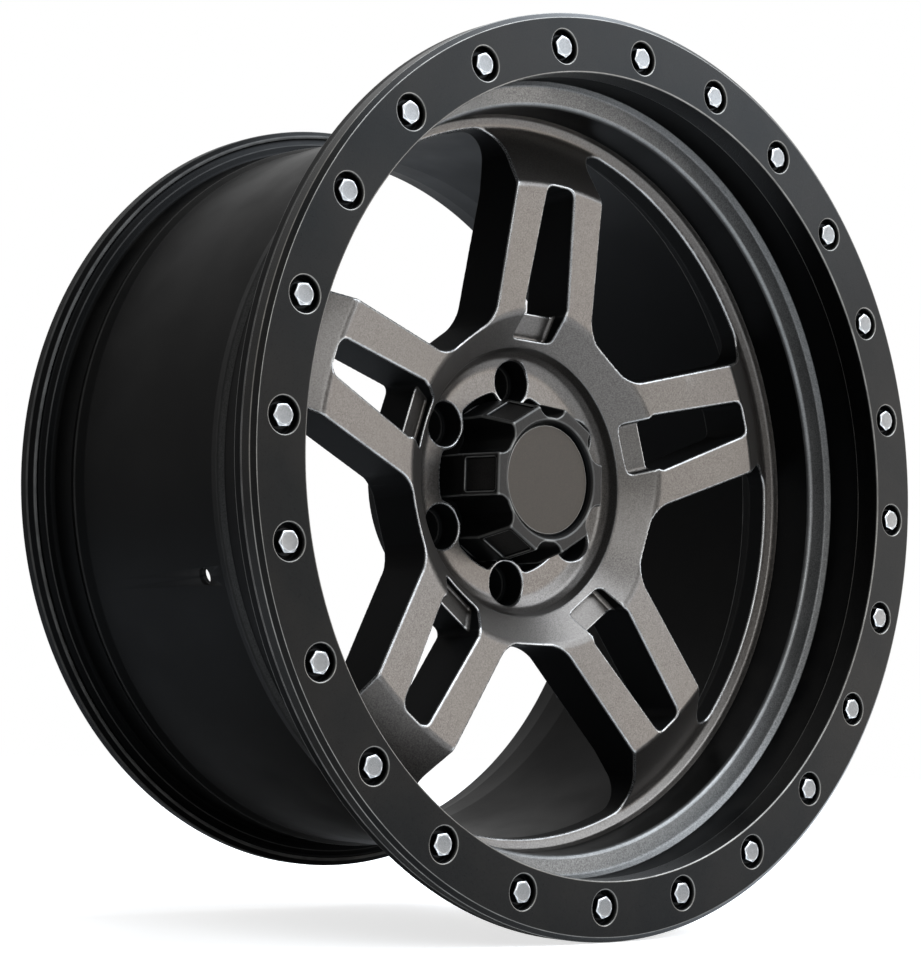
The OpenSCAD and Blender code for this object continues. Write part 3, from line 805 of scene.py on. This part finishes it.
def painted_casting():
    """Bronze-grey metallic on faces and dish; painted shade in satin black on the walls that look across
    the axle.
    """
    mat, t, s = new_material("painted_casting")
    grain, edge, at = use(t, GRAIN, Scale=1000.0), use(t, EDGES, From=0.06, To=0.3), use(t, PLACE)
    front, radius, depth = at["Front"], at["Radius"], at["Depth"]
    spokes = times(t, ramp(t, radius, 93.5, 95.0), fade(t, radius, 243.5, 245.0))
    pockets = times(t, fade(t, radius, 86.0, 87.5), ramp(t, depth, 110.0, 112.5))
    deep_shade = times(t, fade(t, radius, 93.5, 95.0), ramp(t, depth, 114.5, 117.0))
    # Painted shade: satin black on walls across the axle in spokes and pockets, far into the hub, and on
    # surfaces facing back.
    walls = times(t, fade(t, front, 0.12, 0.34), calc(t, "MAXIMUM", spokes, pockets))
    black = calc(t, "MAXIMUM", calc(t, "MAXIMUM", walls, deep_shade), fade(t, front, -0.25, -0.1))
    bronze = blend(t, grain["Value"], srgb(56, 52, 49), srgb(87, 83, 79))
    bronze = blend(t, times(t, grain["Cloud"], 0.15), bronze, srgb(84, 80, 73))
    # Painted highlight on rounded edges of the bronze.
    bronze = blend(t, times(t, edge["Mask"], 0.65), bronze, srgb(160, 159, 157))
    dark = blend(t, grain["Value"], srgb(2, 2, 2), srgb(7, 7, 7))
    # Painted highlight on rounded edges of the black walls.
    dark = blend(t, times(t, edge["Mask"], 0.3), dark, srgb(60, 58, 55))
    metal = calc(t, "SUBTRACT", 1.0, black)
    put(t, s, Base_Color=blend(t, black, bronze, dark), Metallic=times(t, metal, 0.9))
    rough = plus(t, times(t, grain["Value"], 0.1), ramp(t, black, 0.0, 1.0, 0.28, 0.6))
    rough = calc(t, "SUBTRACT", rough, times(t, edge["Mask"], 0.08))
    put(t, s, Roughness=rough, Specular_IOR_Level=0.04, Normal=bump(t, grain["Height"], 0.12))
    put(t, s, Coat_Roughness=0.3, Coat_Weight=times(t, metal, 0.12))
    return mat


def barrel_finish():
    """Satin black barrel, bronze-grey where the dish faces front; black on dish walls facing the axle is
    painted shade.
    """
    mat, t, s = new_material("barrel_finish")
    grain, edge, at = use(t, GRAIN, Scale=1000.0), use(t, EDGES, From=0.05, To=0.35), use(t, PLACE)
    near = times(t, fade(t, at["Radius"], 268.0, 270.0), fade(t, at["Depth"], 100.0, 105.0))
    wall = times(t, ramp(t, at["Front"], 0.1, 0.75), ramp(t, at["Depth"], 44.0, 46.5))
    # Painted highlight: bronze-grey on rounded edges round the dish.
    rim = times(t, times(t, edge["Mask"], near), ramp(t, at["Depth"], 20.0, 30.0))
    # Black left on dish surfaces that don't face the front is painted shade.
    dish = calc(t, "MAXIMUM", times(t, wall, near), rim)
    bronze = blend(t, grain["Value"], srgb(52, 51, 50), srgb(88, 87, 85))
    # Painted highlight on rounded edges of the bronze.
    bronze = blend(t, times(t, edge["Mask"], 0.8), bronze, srgb(160, 159, 157))
    dark = blend(t, grain["Value"], srgb(1, 1, 1), srgb(5, 5, 5))
    # Painted highlight on rounded edges of the black barrel, such as the back lip's ridges.
    dark = blend(t, times(t, edge["Mask"], 0.8), dark, srgb(92, 90, 87))
    dark = blend(t, use(t, DUST, Amount=0.04)["Mask"], dark, srgb(80, 76, 70))
    put(t, s, Base_Color=blend(t, dish, dark, bronze), Metallic=times(t, dish, 0.9))
    put(t, s, Roughness=plus(t, times(t, grain["Cloud"], 0.1), 0.34), Specular_IOR_Level=0.03)
    put(t, s, Normal=bump(t, grain["Height"], 0.1))
    put(t, s, Coat_Weight=times(t, dish, 0.1), Coat_Roughness=0.3)
    return mat


def ring_finish():
    """Satin black ring with a soft sheen, painted shade below its face and thin painted highlights on
    rounded edges.
    """
    mat, t, s = new_material("ring_finish")
    grain, edge, at = use(t, GRAIN, Scale=1300.0), use(t, EDGES, From=0.12, To=0.5), use(t, PLACE)
    dark = blend(t, grain["Value"], srgb(12, 12, 12), srgb(18, 18, 17))
    dark = blend(t, times(t, grain["Cloud"], 0.3), dark, srgb(31, 28, 25))
    # Painted shade: near black on everything sunk below the face, inside the ring's outer edge.
    sunk = times(t, ramp(t, at["Depth"], 1.2, 2.4), fade(t, at["Radius"], 300.0, 301.5))
    dark = blend(t, sunk, dark, srgb(2, 2, 2))
    # Painted highlight on rounded edges, such as the counterbore rims.
    dark = blend(t, times(t, edge["Mask"], 0.8), dark, srgb(120, 117, 112))
    dark = blend(t, use(t, DUST, Amount=0.03)["Mask"], dark, srgb(90, 86, 80))
    put(t, s, Base_Color=dark, Metallic=ramp(t, edge["Mask"], 0.0, 1.0, 0.55, 0.8))
    put(t, s, Roughness=plus(t, times(t, grain["Value"], 0.1), 0.26), Specular_IOR_Level=0.06)
    put(t, s, Normal=bump(t, grain["Height"], 0.08))
    return mat


def zinc_finish(name, light, dull, rough, highlight_share):
    """Zinc plate with faint mottling, painted highlights on rounded edges and painted shade down in the
    counterbore.
    """
    mat, t, s = new_material(name)
    grain, edge, at = use(t, GRAIN, Scale=1500.0), use(t, EDGES, From=0.2, To=0.8), use(t, PLACE)
    plate = blend(t, grain["Value"], dull, light)
    # Painted highlight on rounded edges.
    plate = blend(t, times(t, edge["Mask"], highlight_share), plate, srgb(245, 245, 245))
    # Painted shade: near black below the ring face, down in the counterbore.
    plate = blend(t, ramp(t, at["Depth"], 0.7, 1.3), plate, srgb(14, 14, 14))
    put(t, s, Base_Color=plate, Metallic=0.9)
    put(t, s, Roughness=plus(t, times(t, grain["Cloud"], 0.12), rough))
    put(t, s, Normal=bump(t, grain["Height"], 0.15))
    return mat


def cap_finish():
    """Satin gunmetal cap, with painted shade on the skirt, sunk panels, walls and hollows, and painted
    highlights on edges.
    """
    mat, t, s = new_material("cap_finish")
    grain, edge, at = use(t, GRAIN, Scale=1200.0), use(t, EDGES, From=0.1, To=0.5), use(t, PLACE)
    body = blend(t, grain["Value"], srgb(22, 21, 20), srgb(36, 34, 32))
    # Painted shade on what lies below the lobe tops and on walls that turn from the front.
    low, walls = ramp(t, at["Depth"], 80.0, 97.0, 0.0, 0.75), fade(t, at["Front"], 0.05, 0.24, 0.85)
    body = blend(t, calc(t, "MAXIMUM", low, walls), body, srgb(8, 8, 8))
    # Painted highlight on rounded edges.
    body = blend(t, times(t, edge["Mask"], 0.7), body, srgb(118, 116, 112))
    # Painted shade in hollows and in the channel round the disc.
    groove_shade = times(t, fade(t, at["Radius"], 40.0, 40.6), ramp(t, at["Depth"], 70.5, 71.5))
    body = blend(t, calc(t, "MAXIMUM", edge["Hollow"], groove_shade), body, srgb(3, 3, 3))
    put(t, s, Base_Color=body, Metallic=0.6, Specular_IOR_Level=0.05)
    put(t, s, Roughness=plus(t, times(t, grain["Value"], 0.12), 0.34))
    put(t, s, Normal=bump(t, grain["Height"], 0.12), Coat_Weight=0.04, Coat_Roughness=0.3)
    return mat


def disc_finish():
    """Bare bronze-grey disc with fine even grain and painted highlights on its rounded edges."""
    mat, t, s = new_material("disc_finish")
    grain, edge = use(t, GRAIN, Scale=1500.0), use(t, EDGES, From=0.2, To=0.8)
    body = blend(t, grain["Value"], srgb(38, 33, 28), srgb(52, 46, 39))
    # Painted highlight on rounded edges.
    body = blend(t, times(t, edge["Mask"], 0.6), body, srgb(140, 136, 130))
    put(t, s, Base_Color=body, Metallic=0.35, Specular_IOR_Level=0.2)
    put(t, s, Roughness=plus(t, times(t, grain["Value"], 0.1), 0.5))
    put(t, s, Normal=bump(t, grain["Height"], 0.1))
    return mat


def ring_pattern():
    """Geometry nodes that set copies of a form round the ring, each with a small turn of its own."""
    g = bpy.data.node_groups.new("round_the_ring", "GeometryNodeTree")
    sockets = {"Geometry": "Geometry", "Count": "Int", "Radius": "Float", "Start": "Float"}
    sockets.update({"Play": "Float", "Seed": "Int", "Finish": "Material"})
    for key, kind in sockets.items():
        g.interface.new_socket(name=key, in_out="INPUT", socket_type="NodeSocket" + kind)
    g.interface.new_socket(name="Geometry", in_out="OUTPUT", socket_type="NodeSocketGeometry")
    i = g.nodes.new("NodeGroupInput").outputs
    points = add(g, "GeometryNodePoints", Count=i["Count"]).outputs[0]
    share = calc(g, "DIVIDE", add(g, "GeometryNodeInputIndex").outputs[0], i["Count"])
    angle = plus(g, times(g, share, 2 * math.pi), i["Start"])
    x, z = [times(g, calc(g, part, angle), i["Radius"]) for part in ("COSINE", "SINE")]
    at = add(g, "ShaderNodeCombineXYZ", X=x, Z=z).outputs[0]
    placed = add(g, "GeometryNodeSetPosition", Geometry=points, Position=at).outputs[0]
    dice = add(g, "FunctionNodeRandomValue", {"data_type": "FLOAT"}, Seed=i["Seed"])
    loose = times(g, dice.outputs[1], i["Play"])
    turn = add(g, "ShaderNodeCombineXYZ", Y=calc(g, "SUBTRACT", loose, angle)).outputs[0]
    copies = add(g, "GeometryNodeInstanceOnPoints", Points=placed, Instance=i["Geometry"],
                 Rotation=turn).outputs[0]
    solid = add(g, "GeometryNodeRealizeInstances", Geometry=copies).outputs[0]
    done = add(g, "GeometryNodeSetMaterial", Geometry=solid, Material=i["Finish"]).outputs[0]
    g.links.new(done, g.nodes.new("NodeGroupOutput").inputs[0])
    return g


def round_the_ring(ob, group, material, play, seed):
    """Sets the pattern's named inputs and bakes it into one mesh."""
    mod = ob.modifiers.new("pattern", "NODES")
    mod.node_group = group
    values = {"Count": BOLTS, "Radius": BOLT_R / 1000, "Start": math.radians(90 + BOLT_TURN)}
    values.update({"Play": play, "Seed": seed, "Finish": material})
    for item in group.interface.items_tree:
        if item.in_out == "INPUT" and item.name in values:
            mod[item.identifier] = values[item.name]
    return baked(ob)


def area_light(name, at, size, power, colour):
    """A soft lamp that looks at the wheel."""
    data = bpy.data.lights.new(name, "AREA")
    data.shape = "RECTANGLE"
    data.size, data.size_y = size
    data.energy = power
    data.color = colour
    ob = bpy.data.objects.new(name, data)
    ob.location = at
    ob.rotation_euler = (Vector(LAMP_AIM) - Vector(at)).to_track_quat("-Z", "Y").to_euler()
    bpy.context.scene.collection.objects.link(ob)


def make_world():
    """White background for camera and reflections, a low even fill for everything else."""
    world = bpy.data.worlds.new("studio")
    bpy.context.scene.world = world
    world.use_nodes = True
    t = world.node_tree
    path = add(t, "ShaderNodeLightPath").outputs
    seen = calc(t, "MAXIMUM", path["Is Camera Ray"], path["Is Glossy Ray"])
    seen = calc(t, "MAXIMUM", seen, path["Is Transmission Ray"])
    level = plus(t, times(t, seen, 1.0 - FILL), FILL)
    t.nodes["Background"].inputs["Color"].default_value = (1, 1, 1, 1)
    t.links.new(level, t.nodes["Background"].inputs["Strength"])


def make_floor():
    """Plain pale paper just under the wheel, which glows a little for the camera to read as white."""
    me = bpy.data.meshes.new("floor")
    z = -RING_R / 1000 - 0.0005
    reach = 4
    corners = [(-reach, -reach, z), (reach, -reach, z), (reach, reach, z), (-reach, reach, z)]
    me.from_pydata(corners, [], [(0, 1, 2, 3)])
    floor = bpy.data.objects.new("floor", me)
    bpy.context.scene.collection.objects.link(floor)
    mat, t, s = new_material("floor_paper")
    mottle = noise(t, Vector=object_place(t), Scale=3.0, Detail=3.0)
    paper = blend(t, mottle, srgb(250, 250, 250), srgb(255, 255, 255))
    put(t, s, Base_Color=paper, Roughness=0.9, Specular_IOR_Level=0.0, Emission_Color=paper)
    path = add(t, "ShaderNodeLightPath").outputs
    put(t, s, Emission_Strength=times(t, path["Is Camera Ray"], FLOOR_GLOW))
    me.materials.append(mat)


CENTRE_CELL, CENTRE_SHARE = 1.1, 0.18
CAP_CELL, CAP_SHARE = 0.6, 0.38
FILL = 0.3
FLOOR_GLOW = 0.72
LAMP_AIM = (0, -0.05, 0)

make_camera()
bpy.context.scene.view_settings.view_transform = "Standard"
make_world()
make_floor()
area_light("right_low", (1.55, -1.6, 0.1), (1.3, 0.7), 12, (1.0, 0.98, 0.97))
area_light("right_high", (1.25, -1.5, 0.98), (1.2, 1.0), 30, (0.8, 0.89, 1.0))
area_light("overhead", (0.65, -0.8, 1.85), (2.5, 1.5), 112, (0.8, 0.89, 1.0))
area_light("front_left", (-0.7, -1.9, 0.75), (0.7, 1.2), 16, (0.86, 0.93, 1.0))

centre = thinned(mesh_object("wheel_centre", *build_centre(CENTRE_CELL)), CENTRE_SHARE)
finish_piece(centre, painted_casting(), "casting", "wheel", distance=centre_distance)
finish_piece(build_barrel(), barrel_finish(), "casting", "wheel")
finish_piece(build_ring(), ring_finish(), "ring", "outer_ring")

pattern = ring_pattern()
zinc = zinc_finish("zinc_bolts", srgb(108, 107, 106), srgb(82, 82, 81), 0.34, 0.9)
bolt = mesh_object("ring_bolt_set", *bolt_form())
bolts = round_the_ring(bolt, pattern, zinc, math.pi / 3, 7)
finish_piece(bolts, zinc, "bolts", "ring_bolts")
# Dark zinc for the washers and the cap's wire; all of them lie below the ring face, so the finish covers
# them in painted shade.
dull = zinc_finish("zinc_washers", srgb(40, 40, 40), srgb(24, 24, 24), 0.4, 0.2)
washer_top, hole_r, washer_r = SINK_DEPTH - WASHER_T, 4.2, WASHER_D / 2
washer = [(hole_r, SINK_DEPTH, 0), (hole_r, washer_top, 0), (washer_r, washer_top, .4),
          (washer_r, SINK_DEPTH, .2)]
washer = mesh_object("ring_washer_set", *turned_form(washer, 3, 32))
washers = round_the_ring(washer, pattern, dull, 0.0, 3)
finish_piece(washers, dull, "washers", "ring_washers")

cap = thinned(mesh_object("cap", *build_cap(CAP_CELL)), CAP_SHARE)
finish_piece(cap, cap_finish(), "cap", "cap_body", distance=cap_distance)
disc_back = DISC_DEPTH + DISC_T
disc = [(1e-3, DISC_DEPTH, 0), (DISC_R, DISC_DEPTH, .5), (DISC_R, disc_back, .2), (1e-3, disc_back, 0)]
finish_piece(mesh_object("cap_plate", *turned_form(disc, 4, 160)), disc_finish(), "disc", "cap_disc")
wire = [(SPRING_R + SPRING_WIRE * math.cos(a), SPRING_DEPTH + SPRING_WIRE * math.sin(a), 0)
        for a in np.arange(12) * math.pi / 6]
finish_piece(mesh_object("cap_wire", *turned_form(wire, 1, 120)), dull, "spring", "cap_spring")
